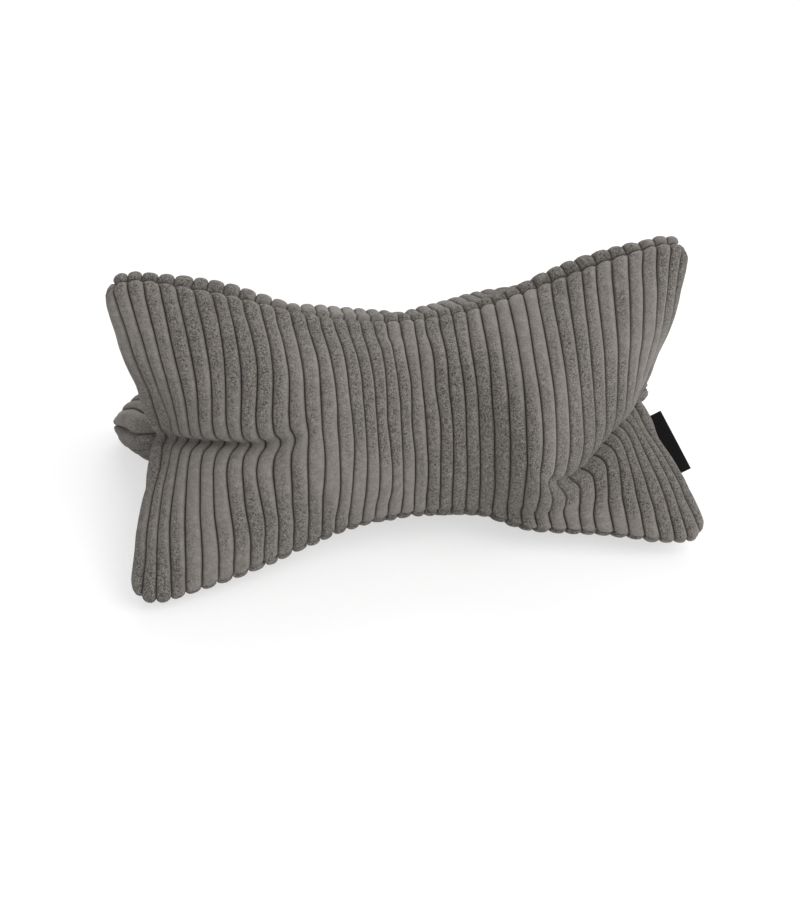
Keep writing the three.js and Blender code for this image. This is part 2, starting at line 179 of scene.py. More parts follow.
# The stage
FLOOR_HALF = 6
LAMP_AIM = Vector((0, 0, 0.07))
LAMPS = {  # place, size and power
    "key": ((1.3, -1.2, 2.0), 2.0, 38.5),
    "fill": ((0.3, -2.0, 1.0), 1.8, 9),
    "back": ((0.3, 1.8, 1.6), 1.8, 30),
}
AMBIENT = 0.55

# The label
TAPE_STEPS = 24  # mesh steps along it
FLAT_STEPS = 5  # across its flat part
FOLD_STEPS = 8  # round its folded edge
TAPE_SHARP = 40  # degrees between two faces past which their edge is sharp


def smooth(t):
    """Eases t from 0 to 1."""
    t = np.clip(t, 0, 1)
    return t * t * (3 - 2 * t)


def turned(degrees):
    """The direction across the pillow at so many degrees from +Y to +Z."""
    angle = math.radians(degrees)
    return np.array((0, math.cos(angle), math.sin(angle)))


def apart(a, b):
    """Degrees from a to b, between -180 and 180."""
    return (b - a + 180) % 360 - 180


def unit(vectors):
    """The vectors with a length of 1."""
    return vectors / np.maximum(np.linalg.norm(vectors, axis=-1, keepdims=True), 1e-12)


# ---------------------------------------------------------------- the cut and the sewing


def half_width(cut, u):
    """Half the panel's width at u, the distance along it from its middle."""
    half = cut.cords * cut.cord_pitch / 2
    along = np.minimum(np.abs(u) / half, 1)
    corner = cut.corner_cords * cut.cord_pitch
    t = np.clip((np.abs(u) - half + corner) / corner, 0, 1)
    waist = (cut.end_width - cut.waist_width) / 2 * np.cos(np.pi / 2 * along) ** cut.waist_ease
    return cut.end_width / 2 - waist - (cut.end_width - cut.corner_width) / 2 * (1 - np.sqrt(1 - t * t))


def flat_cut(cut):
    """Places of half a panel's mesh points on the flat cloth, as two arrays of [column, row]."""
    u = (np.arange(cut.cords + 1) - cut.cords / 2) * cut.cord_pitch
    f = np.arange(ROWS + 1) / ROWS
    along = np.repeat(u[:, None], ROWS + 1, axis=1)
    end = cut.end_peak * (1 - f) ** 2 + cut.end_bulge * np.sin(np.pi * f)
    along[0] -= end
    along[-1] += end
    return along, half_width(cut, u)[:, None] * f


def sew(columns, rows):
    """Numbers of the sewn points as [panel, half, column, row], and how many there are.

    Half 1 is a panel's upper half. Lobe p joins it to the lower half of the panel before it, and both
    ends of all panels meet in the two notches.
    """
    known = {}
    numbers = np.zeros((PANELS, 2, columns + 1, rows + 1), int)
    for panel, half, i, j in np.ndindex(numbers.shape):
        lobe = panel if half else (panel - 1) % PANELS
        at_end = i in (0, columns)
        if at_end and j == 0:
            key = ("notch", i)
        elif at_end or j == rows:
            key = ("seam", lobe, i, j)
        elif j == 0:
            key = ("middle", panel, i)
        else:
            key = ("inside", panel, half, i, j)
        numbers[panel, half, i, j] = known.setdefault(key, len(known))
    return numbers, len(known)


def quads(numbers):
    """Faces of the sewn cover, outwards."""
    found = []
    for panel, half in np.ndindex(PANELS, 2):
        grid = numbers[panel, half]
        corners = np.stack((grid[:-1, :-1], grid[1:, :-1], grid[1:, 1:], grid[:-1, 1:]), -1).reshape(-1, 4)
        found.append(corners if half else corners[:, ::-1])
    return np.concatenate(found)


def lobe_of(panel, half):
    """Direction of the lobe that a half panel reaches, in degrees."""
    return PANEL_FACES[panel] + (-LOBE_TURN if half else LOBE_TURN)


# ---------------------------------------------------------------- the fill


def first_shape(cut, numbers, count):
    """Straight chords from each panel's middle to its seams, a little crowned."""
    along, _ = flat_cut(cut)
    half_length = cut.cords * cut.cord_pitch / 2
    u = (np.arange(cut.cords + 1) - cut.cords / 2) * cut.cord_pitch
    width = half_width(cut, u)
    core = width / math.sqrt(3) * (1 - (u / half_length) ** 2)
    reach = core / 2 + np.sqrt(width**2 - 0.75 * core**2)
    f = np.arange(ROWS + 1) / ROWS
    total = np.zeros((count, 3))
    shares = np.zeros(count)
    for panel, half in np.ndindex(PANELS, 2):
        middle = turned(PANEL_FACES[panel])
        lobe = turned(lobe_of(panel, half))
        crown = unit(middle - lobe * (middle @ lobe))
        inner = core[:, None, None] * middle * (1 - f)[:, None]
        outer = reach[:, None, None] * lobe * f[:, None]
        points = inner + outer + START_BULGE * np.sin(np.pi * f)[:, None] * crown
        points[..., 0] = along * START_LENGTH
        np.add.at(total, numbers[panel, half], points)
        np.add.at(shares, numbers[panel, half], 1)
    return total / shares[:, None]


def threads(cut, numbers):
    """Threads along and across the cords and on both diagonals, each once: ends, length, stiffness."""
    u, v = flat_cut(cut)
    found = {}
    for panel, half in np.ndindex(PANELS, 2):
        grid = numbers[panel, half]
        for di, dj, stiffness in ((1, 0, 1), (0, 1, 1), (1, 1, SHEAR), (1, -1, SHEAR)):
            near = (slice(0, -di or None), slice(max(0, -dj), -dj if dj > 0 else None))
            far = (slice(di, None), slice(max(0, dj), -1 if dj < 0 else None))
            length = np.hypot(u[far] - u[near], v[far] - v[near])
            for a, b, long in zip(grid[near].ravel(), grid[far].ravel(), length.ravel()):
                if a != b:
                    found.setdefault((min(a, b), max(a, b)), (long, stiffness))
    ends = np.array(list(found))
    length, stiffness = np.array(list(found.values())).T
    return ends[:, 0], ends[:, 1], length, stiffness


def bends(cut, numbers):
    """Rows of three points that resist bending about the middle one: points, 1 / lengths, stiffness."""
    u, v = flat_cut(cut)
    last = cut.cords
    inside = [(i, j) for i in range(1, last) for j in range(1, ROWS)]
    rows = [(((i - 1, j), (i, j), (i + 1, j)), BEND) for i, j in inside]
    rows += [(((i, j - 1), (i, j), (i, j + 1)), BEND) for i, j in inside]
    edges = [(((i - 1, 0), (i, 0), (i + 1, 0)), BEND) for i in range(1, last)]
    edges += [(((i - 1, ROWS), (i, ROWS), (i + 1, ROWS)), SEAM_BEND) for i in range(1, last)]
    edges += [(((i, j - 1), (i, j), (i, j + 1)), SEAM_BEND) for i in (0, last) for j in range(1, ROWS)]
    points = []
    facts = []
    for panel, half in np.ndindex(PANELS, 2):
        for trio, stiffness in rows + (edges if half else []):
            flat = np.array([(u[p], v[p]) for p in trio])
            before, after = np.diff(flat, axis=0)
            lengths = np.hypot(*before), np.hypot(*after)
            if before @ after < SHARP_TURN * lengths[0] * lengths[1]:
                continue
            points.append([numbers[panel, half][p] for p in trio])
            facts.append((1 / lengths[0], 1 / lengths[1], stiffness))
    return np.array(points).T, np.array(facts).T


def planes(numbers):
    """Planes through the axis: (points, normal) that stay in front of one, and that stay on one."""
    sides = []
    kept = []
    for panel, half in np.ndindex(PANELS, 2):
        face = PANEL_FACES[panel]
        toward = -90 if half else 90
        inside = numbers[panel, half, 1:-1, 1:-1].ravel()
        sides.append((inside, turned(face + toward)))
        sides.append((inside, turned(lobe_of(panel, half) - toward)))
        if half:
            grid = numbers[panel, half]
            seam = np.unique(np.concatenate((grid[:, -1], grid[0], grid[-1])))
            kept.append((grid[:, 0], turned(face + 90)))
            kept.append((seam, turned(lobe_of(panel, half) + 90)))
    return sides, kept


def hold_planes(points, sides, kept, speed=None):
    """Brings points back to the planes that they keep to, and stops them there."""
    for group, normal in sides:
        over = points[group] @ normal
        low = over < FOLD_GAP
        points[group[low]] += (FOLD_GAP - over[low])[:, None] * normal
        if speed is not None:
            inward = np.minimum(speed[group[low]] @ normal, 0)
            speed[group[low]] -= inward[:, None] * normal
    for group, normal in kept:
        points[group] -= (points[group] @ normal)[:, None] * normal
        if speed is not None:
            speed[group] -= (speed[group] @ normal)[:, None] * normal


def summed(index, values, count):
    """Adds up the values that belong to each point."""
    return np.stack([np.bincount(index, values[:, k], count) for k in range(3)], axis=1)


def fill(cut):
    """Cloth forces and pressure act on every point of the sewn cover until it has come to rest."""
    numbers, count = sew(cut.cords, ROWS)
    points = first_shape(cut, numbers, count)
    a, b, length, stiffness = threads(cut, numbers)
    (before_end, middle, after_end), (before, after, bend) = bends(cut, numbers)
    both = before + after
    corners = quads(numbers)
    skin = np.concatenate((corners[:, [0, 1, 2]], corners[:, [0, 2, 3]]))
    sides, kept = planes(numbers)
    pull = stiffness / length
    grip = np.bincount(a, pull, count) + np.bincount(b, pull, count)
    for index, share in ((before_end, before * both), (middle, both * both), (after_end, after * both)):
        grip += np.bincount(index, bend * share, count)
    speed = np.zeros_like(points)
    for _ in range(FILL_STEPS):
        gap = points[b] - points[a]
        now = np.linalg.norm(gap, axis=1)
        strength = np.where(now > length, pull, pull * SQUEEZE) * (now - length) / now
        force = summed(a, strength[:, None] * gap, count) - summed(b, strength[:, None] * gap, count)
        bent = points[before_end] * before[:, None] + points[after_end] * after[:, None]
        bent = (bent - points[middle] * both[:, None]) * bend[:, None]
        force += summed(middle, bent * both[:, None], count)
        force -= summed(before_end, bent * before[:, None], count)
        force -= summed(after_end, bent * after[:, None], count)
        corner = [points[skin[:, k]] for k in range(3)]
        push = np.cross(corner[1] - corner[0], corner[2] - corner[0]) * PRESSURE / 6
        for k in range(3):
            force += summed(skin[:, k], push, count)
        speed = (speed + force * STEP_SIZE / grip[:, None]) * (1 - DAMPING)
        points += speed
        hold_planes(points, sides, kept, speed)
        low = points[:, 2] < -cut.axis_height
        points[low, 2] = -cut.axis_height
        speed[low, 2] = 0
    return points, numbers


# ---------------------------------------------------------------- finer grids


def spline(values, places):
    """A smooth curve through values at 0, 1, 2 and on along the first axis, read at places."""
    n = len(values)
    flat = values.reshape(n, -1)
    matrix = np.eye(n) * 4 + np.eye(n, k=1) + np.eye(n, k=-1)
    matrix[0, :3] = (1, -2, 1)
    matrix[-1, -3:] = (1, -2, 1)
    right = np.zeros_like(flat)
    right[1:-1] = 6 * (flat[:-2] - 2 * flat[1:-1] + flat[2:])
    curving = np.linalg.solve(matrix, right).reshape(values.shape)
    places = places.reshape(places.shape + (1,) * (values.ndim - places.ndim))
    places = np.broadcast_to(places, places.shape[:1] + values.shape[1:])
    start = np.clip(np.floor(places).astype(int), 0, n - 2)
    t = places - start

    def read(source, index):
        return np.take_along_axis(source, index, axis=0)

    line = (1 - t) * read(values, start) + t * read(values, start + 1)
    curve = ((1 - t) ** 3 - (1 - t)) * read(curving, start) + (t**3 - t) * read(curving, start + 1)
    return line + curve / 6


def finer(points, numbers, columns, rows):
    """Points of a finer grid over the same cloth.

    columns are the new columns' places in the old grid, and rows the new rows' places, for each new
    column, from 0 in a panel's middle to the last old row at its seam.
    """
    new_numbers, count = sew(len(columns) - 1, rows.shape[1] - 1)
    last = numbers.shape[3] - 1
    total = np.zeros((count, 3))
    shares = np.zeros(count)
    for panel in range(PANELS):
        whole = np.concatenate((numbers[panel, 0][:, :0:-1], numbers[panel, 1]), axis=1)
        strip = spline(points[whole], columns)
        across = np.swapaxes(strip, 0, 1)
        for half in (0, 1):
            places = last + (rows if half else -rows)
            grid = np.swapaxes(spline(across, places.T), 0, 1)
            np.add.at(total, new_numbers[panel, half], grid)
            np.add.at(shares, new_numbers[panel, half], 1)
    return total / shares[:, None], new_numbers


def even_places(old_columns, old_rows, times):
    """Places of a grid that has so many times the columns and rows."""
    columns = np.linspace(0, old_columns, old_columns * times + 1)
    rows = np.linspace(0, old_rows, old_rows * times + 1)
    return columns, np.repeat(rows[None], len(columns), axis=0)


# ---------------------------------------------------------------- settling and slumping


def mesh_object(name, points, faces):
    """A new object with this mesh, shown in the scene."""
    mesh = bpy.data.meshes.new(name)
    mesh.from_pydata(points.tolist(), [], faces.tolist())
    mesh.polygons.foreach_set("use_smooth", np.ones(len(mesh.polygons), bool))
    mesh.update()
    made = bpy.data.objects.new(name, mesh)
    bpy.context.collection.objects.link(made)
    return made


def drop(thing):
    """Removes an object and its mesh."""
    mesh = thing.data
    bpy.data.objects.remove(thing)
    bpy.data.meshes.remove(mesh)


def read_points(mesh):
    """Places of a mesh's points."""
    found = np.zeros(len(mesh.vertices) * 3)
    mesh.vertices.foreach_get("co", found)
    return found.reshape(-1, 3)


def evened(moved, numbers, held):
    """Each point's move, evened out with its neighbours'. The held points keep still."""
    corners = quads(numbers)
    share = np.bincount(corners.ravel(), minlength=len(moved))[:, None]
    for _ in range(EVENING):
        moved[held] = 0
        around = np.repeat(moved[corners].mean(axis=1), 4, axis=0)
        moved = summed(corners.ravel(), around, len(moved)) / share
    moved[held] = 0
    return moved


def settle(points, numbers, cloth_settings):
    """Lets the cloth puff and pucker between its seams, in Blender's cloth simulation."""
    cover = mesh_object("settling_cover", points, quads(numbers))
    seam = cover.vertex_groups.new(name="seam")
    held = np.unique(np.concatenate((numbers[:, :, :, -1].ravel(), numbers[:, :, [0, -1]].ravel())))
    seam.add(held.tolist(), 1.0, "REPLACE")
    middle = np.setdiff1d(np.unique(numbers[:, :, :, 0]), held)
    seam.add(middle.tolist(), MIDDLE_HOLD, "REPLACE")
    cloth = cover.modifiers.new("Cloth", "CLOTH")
    physics = cloth.settings
    for name, value in CLOTH.items():
        setattr(physics, name, value)
    physics.vertex_group_mass = "seam"
    physics.shrink_min = -cloth_settings.ease
    physics.uniform_pressure_force = cloth_settings.puff
    physics.effector_weights.gravity = 0
    cloth.point_cache.frame_start = 1
    cloth.point_cache.frame_end = cloth_settings.frames
    scene = bpy.context.scene
    for step in range(1, cloth_settings.frames + 1):
        scene.frame_set(step)
    graph = bpy.context.evaluated_depsgraph_get()
    moved = read_points(cover.evaluated_get(graph).data) - points
    scene.frame_set(1)
    drop(cover)
    moved = evened(moved, numbers, held)
    tips = points[np.unique(numbers[:, :, [0, -1], -1])]
    to_tip = np.linalg.norm(points[:, None] - tips, axis=2).min(axis=1)
    moved *= smooth((to_tip - cloth_settings.stiff_tip) / cloth_settings.stiff_tip)[:, None]
    distance = np.linalg.norm(moved, axis=1, keepdims=True)
    limit = cloth_settings.most_move
    return points + moved * limit * np.tanh(distance / limit) / np.maximum(distance, 1e-9)


def to_size(points, cut):
    """Brings the filled form to its finished length and span, and returns its axis height."""
    along = cut.length / 2 / np.abs(points[:, 0]).max()
    round_axis = cut.tip_span / math.sqrt(3) / points[:, 2].max()
    points *= (along, round_axis, round_axis)
    return cut.axis_height * round_axis


def ramp(x, name):
    """Eases from 0 to 1 along X where this part of the slump sets in."""
    start, run = RAMPS[name]
    return smooth((x - start) / run)


def beside(degrees, sides):
    """1 at an angle of 0, and eased to 0 at so many degrees above and below it."""
    return 1 - smooth(np.where(degrees < 0, -degrees / sides[0], degrees / sides[1]))


def slump(points, rest):
    """Draws the middle cords together, turns the front folds down, makes the right one shallower,
    pushes both notches out, lifts the right front tip and fills out the back lobe's ends."""
    x = points[:, 0].copy()
    radius = np.hypot(points[:, 1], points[:, 2])
    angle = np.degrees(np.arctan2(points[:, 2], points[:, 1]))
    from_fold = apart(PANEL_FACES[FRONT], angle)
    place = from_fold / LOBE_TURN

    down = rest.drop_right * ramp(x, "right fold") - rest.drop_back * ramp(x, "right fold back")
    down += rest.drop_left * ramp(-x, "left fold")
    down *= 1 - smooth((radius - rest.fold_core) / (rest.fold_reach - rest.fold_core))
    easing = FOLD_ROUND + FOLD_SOFT * (1 - ramp(np.abs(x), "sharp"))
    share = 1 - (np.hypot(place, easing) - easing) / (np.hypot(1, easing) - easing)
    from_lobe = apart(PANEL_FACES[FRONT] + LOBE_TURN, angle)
    raised = ramp(x, "tip") * smooth((radius - LIFT_CORE) / LIFT_RIM) * beside(from_lobe, LIFT_SIDES)
    turn = down * np.maximum(share, 0) - rest.tip_lift * raised

    near_fold = np.abs(from_fold) / np.where(place < 0, *SHALLOW_SIDES)
    shallow = np.maximum(1 - near_fold, 0)
    radius_now = radius + rest.fold_rise * ramp(x, "shallow") * (1 - ramp(x, "deep again")) * shallow

    at_notch = 1 - smooth((radius - PUSH_CORE) / PUSH_RIM)
    push = rest.push_right * ramp(x, "right push") - rest.push_left * ramp(-x, "left push")
    push *= 1 - rest.notch_back * ramp(np.abs(x), "notch")
    push *= np.maximum(at_notch, beside(from_fold, PUSH_SIDES))
    gather = rest.gather * np.sin(np.pi * np.clip(x / GATHER_REACH, -1, 1))
    at_end = np.clip((np.abs(x) - BLUNT_FROM) / (np.abs(x).max() - BLUNT_FROM), 0, 1)
    on_back = beside(apart(PANEL_FACES[BACK] - LOBE_TURN, angle), BLUNT_SIDES)
    blunt = rest.blunt * np.sign(x) * np.sin(np.pi * at_end) * on_back

    final = np.radians(angle) + turn
    points[:, 0] = x + push - gather + blunt
    points[:, 1] = radius_now * np.cos(final)
    points[:, 2] = radius_now * np.sin(final)


def crown(points, numbers, cords, rest):
    """The back of each upper lobe swells over the seam along its top."""
    grid = numbers[BACK, 0]
    columns, rows = (size - 1 for size in grid.shape)
    to_seam = np.clip((np.arange(rows + 1) / rows - 1) / CROWN_SHARE + 1, 0, 1)
    to_end = np.minimum(np.arange(columns + 1), columns - np.arange(columns + 1)) / columns
    swell = smooth(to_end * cords / CROWN_END) * ramp(np.abs(points[grid[:, -1], 0]), "crown")
    amount = rest.crown * swell[:, None] * np.sin(np.pi * to_seam**2)
    points[grid] += amount[:, :, None] * turned(CROWN_WAY)


# ---------------------------------------------------------------- the cords


def fine_places(cut):
    """Places of the finished cover's columns and rows in the fill's grid, and for each point how far
    it is across its cord, from -1 to 1, and its distances from the side seam and the end seam."""
    steps = np.array(CORD_STEPS)
    columns = np.append((np.arange(cut.cords)[:, None] + steps).ravel(), cut.cords)
    across = np.append(np.tile(steps * 2 - 1, cut.cords), 1)
    u = (columns - cut.cords / 2) * cut.cord_pitch
    width = half_width(cut, u)[:, None]
    edge = np.array(SEAM_STEPS)[::-1]
    body = np.arange(BODY_ROWS) / BODY_ROWS * (width - edge[0])
    side_gap = np.concatenate((width - body, np.repeat(edge[None], len(u), axis=0)), axis=1)
    end_gap = np.repeat((cut.cords * cut.cord_pitch / 2 - np.abs(u))[:, None], side_gap.shape[1], axis=1)
    rows = (1 - side_gap / width) * ROWS
    across = np.repeat(across[:, None], side_gap.shape[1], axis=1)
    return columns, rows, across, side_gap, end_gap


def normals_of(points, numbers):
    """The sewn cover's normals at its points."""
    cover = mesh_object("measured_cover", points, quads(numbers))
    normals = np.zeros(len(points) * 3)
    cover.data.vertex_normals.foreach_get("vector", normals)
    drop(cover)
    return normals.reshape(-1, 3)


def ways_out(points, numbers, side_gap, end_gap):
    """The way out of the cloth at each point: its own normal, and beside a seam the seam's."""
    normals = normals_of(points, numbers)
    total = np.zeros_like(points)
    side = smooth(1 - side_gap / SEAM_REACH)[..., None]
    end = smooth(1 - end_gap / SEAM_REACH)[..., None]
    for panel, half in np.ndindex(PANELS, 2):
        grid = numbers[panel, half]
        left = (np.arange(len(grid)) < len(grid) / 2)[:, None]
        nearer = normals[np.where(left, grid[:1], grid[-1:])]
        blended = normals[grid] * (1 - side) * (1 - end) + normals[grid[:, -1:]] * side + nearer * end
        np.add.at(total, grid, unit(blended))
    return unit(total)


def wander(points, numbers, cords, amount, seed):
    """Moves the grooves a little to either side, each on its own."""
    random = np.random.default_rng(seed)
    columns = (numbers.shape[2] - 1) // len(CORD_STEPS) + 1
    moved = np.zeros_like(points)
    for panel in range(PANELS):
        whole = np.concatenate((numbers[panel, 0][:, :0:-1], numbers[panel, 1]), axis=1)
        knots = random.normal(0, 1, (columns, WANDER_KNOTS))
        slow = spline(knots, np.arange(len(whole)) / len(CORD_STEPS))
        slow = spline(slow.T, np.linspace(0, WANDER_KNOTS - 1, whole.shape[1])).T
        slow[[0, -1]] = 0
        slow[:, [0, -1]] = 0
        moved[whole] = (amount * slow)[..., None] * unit(np.gradient(points[whole], axis=0))
    return points + moved


def store(mesh, name, values, kind="FLOAT"):
    """Stores a value or a vector at each point of a mesh."""
    attribute = mesh.attributes.new(name, kind, "POINT")
    attribute.data.foreach_set("vector" if kind == "FLOAT_VECTOR" else "value", values.astype("f").ravel())


def lay_flat(mesh, numbers, cut, columns, rows):
    """Gives the cover a UV map in which its panels lie flat, side by side and to one scale."""
    u = (columns - cut.cords / 2) * cut.cord_pitch
    v = rows / ROWS * half_width(cut, u)[:, None]
    size = cut.cords * cut.cord_pitch
    places = []
    for panel, half in np.ndindex(PANELS, 2):
        y = (v if half else -v) + cut.end_width * (panel + 0.5)
        x = np.repeat((u + size / 2)[:, None], v.shape[1], axis=1)
        flat = np.stack((x, y), axis=-1) / FLAT_SIZE
        corners = np.stack((flat[:-1, :-1], flat[1:, :-1], flat[1:, 1:], flat[:-1, 1:]), 2).reshape(-1, 4, 2)
        places.append(corners if half else corners[:, ::-1])
    layer = mesh.uv_layers.new(name="cloth")
    layer.data.foreach_set("uv", np.concatenate(places).astype("f").ravel())


class Tree:
    """Adds nodes to a node tree and joins them."""

    def __init__(self, tree):
        self.tree = tree

    def add(self, kind, inputs=None, **facts):
        """A node with these properties. Inputs are values, or the sockets that they come from."""
        node = self.tree.nodes.new(kind)
        for name, value in facts.items():
            setattr(node, name, value)
        for name, value in (inputs or {}).items():
            socket = node.inputs[name]
            if isinstance(value, bpy.types.NodeSocket):
                self.tree.links.new(value, socket)
            else:
                socket.default_value = value
        return node

    def maths(self, operation, a, b=0.0, clamp=False):
        """The result of a sum of one or two numbers."""
        node = self.add("ShaderNodeMath", {0: a, 1: b}, operation=operation, use_clamp=clamp)
        return node.outputs[0]

    def ease(self, value, low, high, to_low=0.0, to_high=1.0):
        """Value eased from to_low, at low, to to_high, at high."""
        limits = {"Value": value, "From Min": low, "From Max": high, "To Min": to_low, "To Max": to_high}
        node = self.add("ShaderNodeMapRange", limits, interpolation_type="SMOOTHSTEP")
        return node.outputs["Result"]

    def blend(self, factor, a, b):
        """Two colours mixed."""
        node = self.add("ShaderNodeMix", data_type="RGBA")
        for socket, value in zip((node.inputs[0], node.inputs[6], node.inputs[7]), (factor, a, b)):
            if isinstance(value, bpy.types.NodeSocket):
                self.tree.links.new(value, socket)
            else:
                socket.default_value = value
        return node.outputs[2]


def socket(tree, name, kind, way="INPUT", subtype="NONE"):
    """A new socket of a node group."""
    made = tree.interface.new_socket(name=name, in_out=way, socket_type=kind)
    if subtype != "NONE":
        made.subtype = subtype
    return made


def cord_tree():
    """Geometry nodes that press the grooves and the seams into the smooth cover."""
    tree = bpy.data.node_groups.new("corduroy_cords", "GeometryNodeTree")
    socket(tree, "Geometry", "NodeSocketGeometry")
    for name, subtype in CORD_INPUTS.items():
        socket(tree, name, "NodeSocketFloat", subtype=subtype)
    socket(tree, "Material", "NodeSocketMaterial")
    socket(tree, "Geometry", "NodeSocketGeometry", way="OUTPUT")
    t = Tree(tree)
    given = t.add("NodeGroupInput").outputs

    def stored(name, kind="FLOAT"):
        return t.add("GeometryNodeInputNamedAttribute", {"Name": name}, data_type=kind).outputs[0]

    def nearness(name, reach):
        share = t.maths("DIVIDE", stored(name), given[reach])
        return t.maths("POWER", t.maths("SUBTRACT", 1.0, share, clamp=True), 2.0)

    def swelling(name):
        inside = t.maths("SUBTRACT", 1.0, t.maths("DIVIDE", stored(name), PUFF_REACH), clamp=True)
        rising = t.maths("MULTIPLY", t.maths("SUBTRACT", 1.0, inside), PUFF_PEAK)
        return t.maths("MULTIPLY", rising, t.maths("POWER", inside, 2.0))

    across = t.maths("POWER", t.maths("ABSOLUTE", stored("across")), given["Flatness"])
    end = t.maths("MULTIPLY", nearness("end_gap", "End round"), END_SHARE)
    edge = t.maths("ADD", nearness("side_gap", "Seam round"), end, clamp=True)
    left = t.maths("SUBTRACT", 1.0, t.maths("ADD", across, edge), clamp=True)
    height = t.maths("SQRT", left)
    sunk = t.maths("SUBTRACT", 1.0, height)
    groove = t.maths("MULTIPLY", sunk, given["Groove depth"])
    extra = t.maths("MULTIPLY", edge, t.maths("SUBTRACT", given["Seam depth"], given["Groove depth"]))
    noise = t.add("ShaderNodeTexNoise", {"Scale": UNEVEN_SCALE, "W": given["Seed"]}, noise_dimensions="4D")
    lift = t.maths("MULTIPLY", t.maths("SUBTRACT", noise.outputs[0], 0.5), given["Unevenness"])
    lift = t.maths("MULTIPLY", lift, t.maths("MULTIPLY", height, 2.0))
    puffed = t.maths("MULTIPLY", swelling("side_gap"), given["Seam puff"])
    puffed = t.maths("MAXIMUM", puffed, t.maths("MULTIPLY", swelling("end_gap"), given["End puff"]))
    lift = t.maths("ADD", lift, puffed)
    offset = t.maths("SUBTRACT", lift, t.maths("ADD", groove, extra))
    way = t.add("ShaderNodeVectorMath", {0: stored("way_out", "FLOAT_VECTOR")}, operation="SCALE")
    tree.links.new(offset, way.inputs["Scale"])
    pressed = t.add("GeometryNodeSetPosition", {"Geometry": given["Geometry"], "Offset": way.outputs[0]})
    # How far a point lies in a groove or beside a seam, where the material paints shade in the ground's
    # colour
    in_groove = t.maths("SUBTRACT", 1.0, t.maths("SQRT", t.maths("SUBTRACT", 1.0, across, clamp=True)))
    shaded = t.maths("MAXIMUM", in_groove, t.maths("POWER", edge, SEAM_SHADE))
    noted = t.add(
        "GeometryNodeStoreNamedAttribute",
        {"Geometry": pressed.outputs[0], "Name": "sunk", "Value": shaded},
        data_type="FLOAT",
        domain="POINT",
    )
    real = t.add("GeometryNodeRealizeInstances", {"Geometry": noted.outputs[0]})
    dressed = t.add(
        "GeometryNodeSetMaterial", {"Geometry": real.outputs[0], "Material": given["Material"]}
    )
    t.add("NodeGroupOutput", {"Geometry": dressed.outputs[0]})
    return tree


def grow(thing, tree, values, name):
    """Runs a geometry nodes tree on an object and returns the result as a plain mesh object."""
    modifier = thing.modifiers.new(tree.name, "NODES")
    modifier.node_group = tree
    for item in tree.interface.items_tree:
        if item.item_type == "SOCKET" and item.in_out == "INPUT" and item.name in values:
            modifier[item.identifier] = values[item.name]
    graph = bpy.context.evaluated_depsgraph_get()
    mesh = bpy.data.meshes.new_from_object(thing.evaluated_get(graph), depsgraph=graph)
    thing.modifiers.remove(modifier)
    drop(thing)
    mesh.name = name
    made = bpy.data.objects.new(name, mesh)
    bpy.context.collection.objects.link(made)
    return made


# ---------------------------------------------------------------- materials


def srgb(colour):
    """A colour as it is seen, turned to the shader's linear numbers, with its alpha."""
    linear = [c / 12.92 if c <= 0.04045 else ((c + 0.055) / 1.055) ** 2.4 for c in colour[:3]]
    return (*linear, 1.0)


